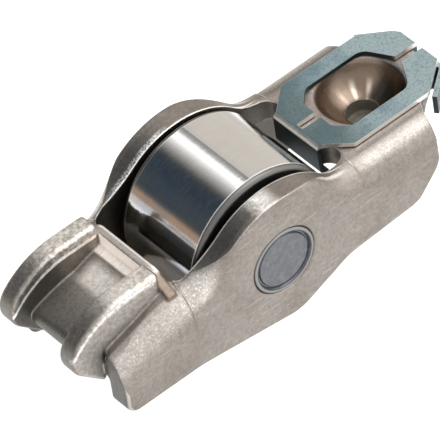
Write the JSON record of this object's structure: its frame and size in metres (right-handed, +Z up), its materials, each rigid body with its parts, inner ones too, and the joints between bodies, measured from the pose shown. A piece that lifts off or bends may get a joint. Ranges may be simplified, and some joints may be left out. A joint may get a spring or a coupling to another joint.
{
  "type": "rocker arm",
  "caption": "Roller finger follower: a pressed steel arm with a ball socket, a cam roller on needles, a valve pad between two guide rails and a spring clip",
  "frame": {"origin": "centre of the ball that the spherical pivot seat holds", "axes": "+X from the valve end to the pivot end, level with the bench that the arm lies on; +Y across the arm, along the roller axis; +Z up, away from the bench, the side that the seat and the valve pad open to"},
  "size_m": [0.0483, 0.0174, 0.017],
  "materials": {
    "arm_steel": "pressed and case-hardened steel, tumbled to a dull satin, rubbed bright on edges and pad",
    "axle_steel": "turned and hardened pin, ends caulked",
    "roller_steel": "ground and superfinished bearing steel",
    "needle_steel": "ground bearing steel",
    "clip_steel": "spring steel with blue zinc plating"
  },
  "bodies": {
    "arm_body": {"arm": "arm_steel", "axle": "axle_steel", "retaining_clip": "clip_steel"},
    "roller_body": {"roller": "roller_steel"},
    "needle_ring": {"needle_01": "needle_steel", "needle_02": "needle_steel", "needle_03": "needle_steel", "needle_04": "needle_steel", "needle_05": "needle_steel", "needle_06": "needle_steel", "needle_07": "needle_steel", "needle_08": "needle_steel", "needle_09": "needle_steel", "needle_10": "needle_steel", "needle_11": "needle_steel", "needle_12": "needle_steel", "needle_13": "needle_steel", "needle_14": "needle_steel", "needle_15": "needle_steel", "needle_16": "needle_steel", "needle_17": "needle_steel", "needle_18": "needle_steel"}
  },
  "joints": [
    {"name": "roller_spin", "type": "hinge", "parent": "arm_body", "child": "roller_body", "pos_m": [-0.01668, 0, -0.00749], "axis": [0, 1, 0], "continuous": true},
    {"name": "needle_orbit", "type": "hinge", "parent": "arm_body", "child": "needle_ring", "pos_m": [-0.01668, 0, -0.00749], "axis": [0, 1, 0], "continuous": true}
  ],
  "couplings": [
    {"joint": "needle_orbit", "follows": "roller_spin", "ratio": 0.58705}
  ]
}
